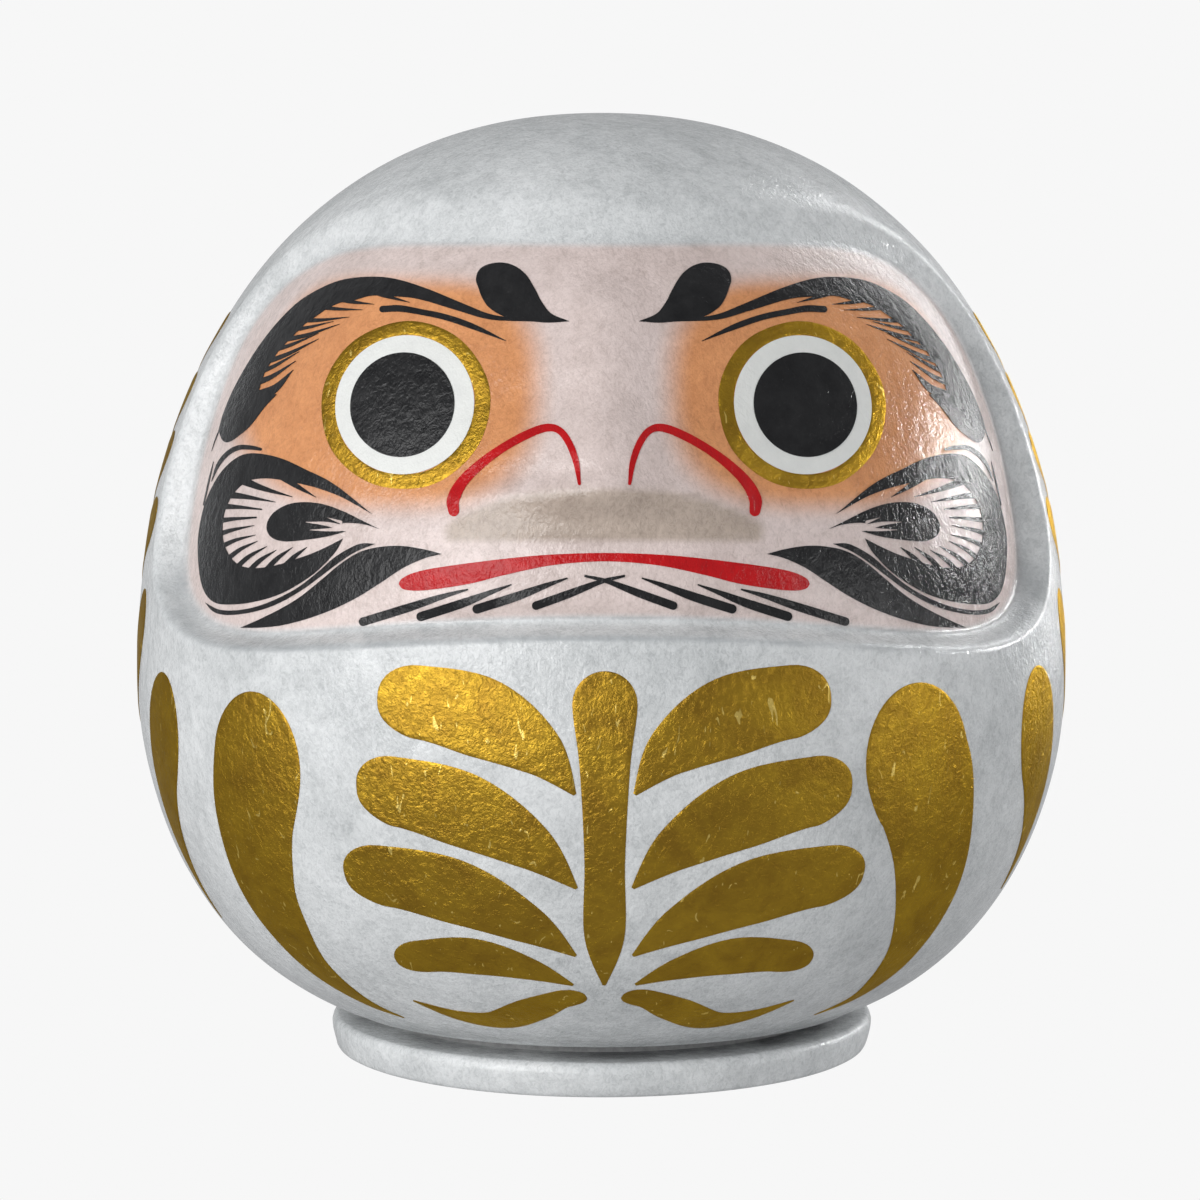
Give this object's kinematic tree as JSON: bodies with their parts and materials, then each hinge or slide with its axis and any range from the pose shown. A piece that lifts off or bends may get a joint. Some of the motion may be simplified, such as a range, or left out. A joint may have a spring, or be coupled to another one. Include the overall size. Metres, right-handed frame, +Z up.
{
  "type": "daruma doll",
  "caption": "Round hollow papier-mache doll with a sunken painted face, gold leaf brush strokes and a weighted clay foot that keeps it upright.",
  "frame": {"origin": "centre of the underside of the foot, on the surface the doll stands on", "axes": "+Z up, -Y is the way the face looks, +X is the right-hand side of the doll as seen from in front"},
  "size_m": [0.1812, 0.1807, 0.181],
  "materials": {
    "painted_paper_front": "white lacquer over moulded paper, slightly mottled",
    "painted_paper_back": "white lacquer over moulded paper, slightly mottled",
    "washi": "raw, matt",
    "washi_painted": "painted over",
    "painted_clay": "low-fired clay under white lacquer",
    "gold_leaf": "crinkled leaf on raised size"
  },
  "bodies": {
    "root": {"front_shell": "painted_paper_front", "back_shell": "painted_paper_back", "seam_strip": "washi", "foot_weight": "painted_clay", "neck_strip": "washi_painted", "foot_paper": "washi", "eye_ring_left": "gold_leaf", "eye_ring_right": "gold_leaf", "robe_front_left": "gold_leaf", "robe_front_right": "gold_leaf", "robe_side_left": "gold_leaf", "robe_side_right": "gold_leaf", "sleeve_left_1": "gold_leaf", "sleeve_left_2": "gold_leaf", "sleeve_left_3": "gold_leaf", "sleeve_left_4": "gold_leaf", "sleeve_left_5": "gold_leaf", "sleeve_right_1": "gold_leaf", "sleeve_right_2": "gold_leaf", "sleeve_right_3": "gold_leaf", "sleeve_right_4": "gold_leaf", "sleeve_right_5": "gold_leaf", "sprig_stem": "gold_leaf", "sprig_leaf_left_1": "gold_leaf", "sprig_leaf_left_2": "gold_leaf", "sprig_leaf_left_3": "gold_leaf", "sprig_leaf_left_4": "gold_leaf", "sprig_leaf_right_1": "gold_leaf", "sprig_leaf_right_2": "gold_leaf", "sprig_leaf_right_3": "gold_leaf", "sprig_leaf_right_4": "gold_leaf", "wave_left": "gold_leaf", "wave_right": "gold_leaf"}
  },
  "joints": []
}
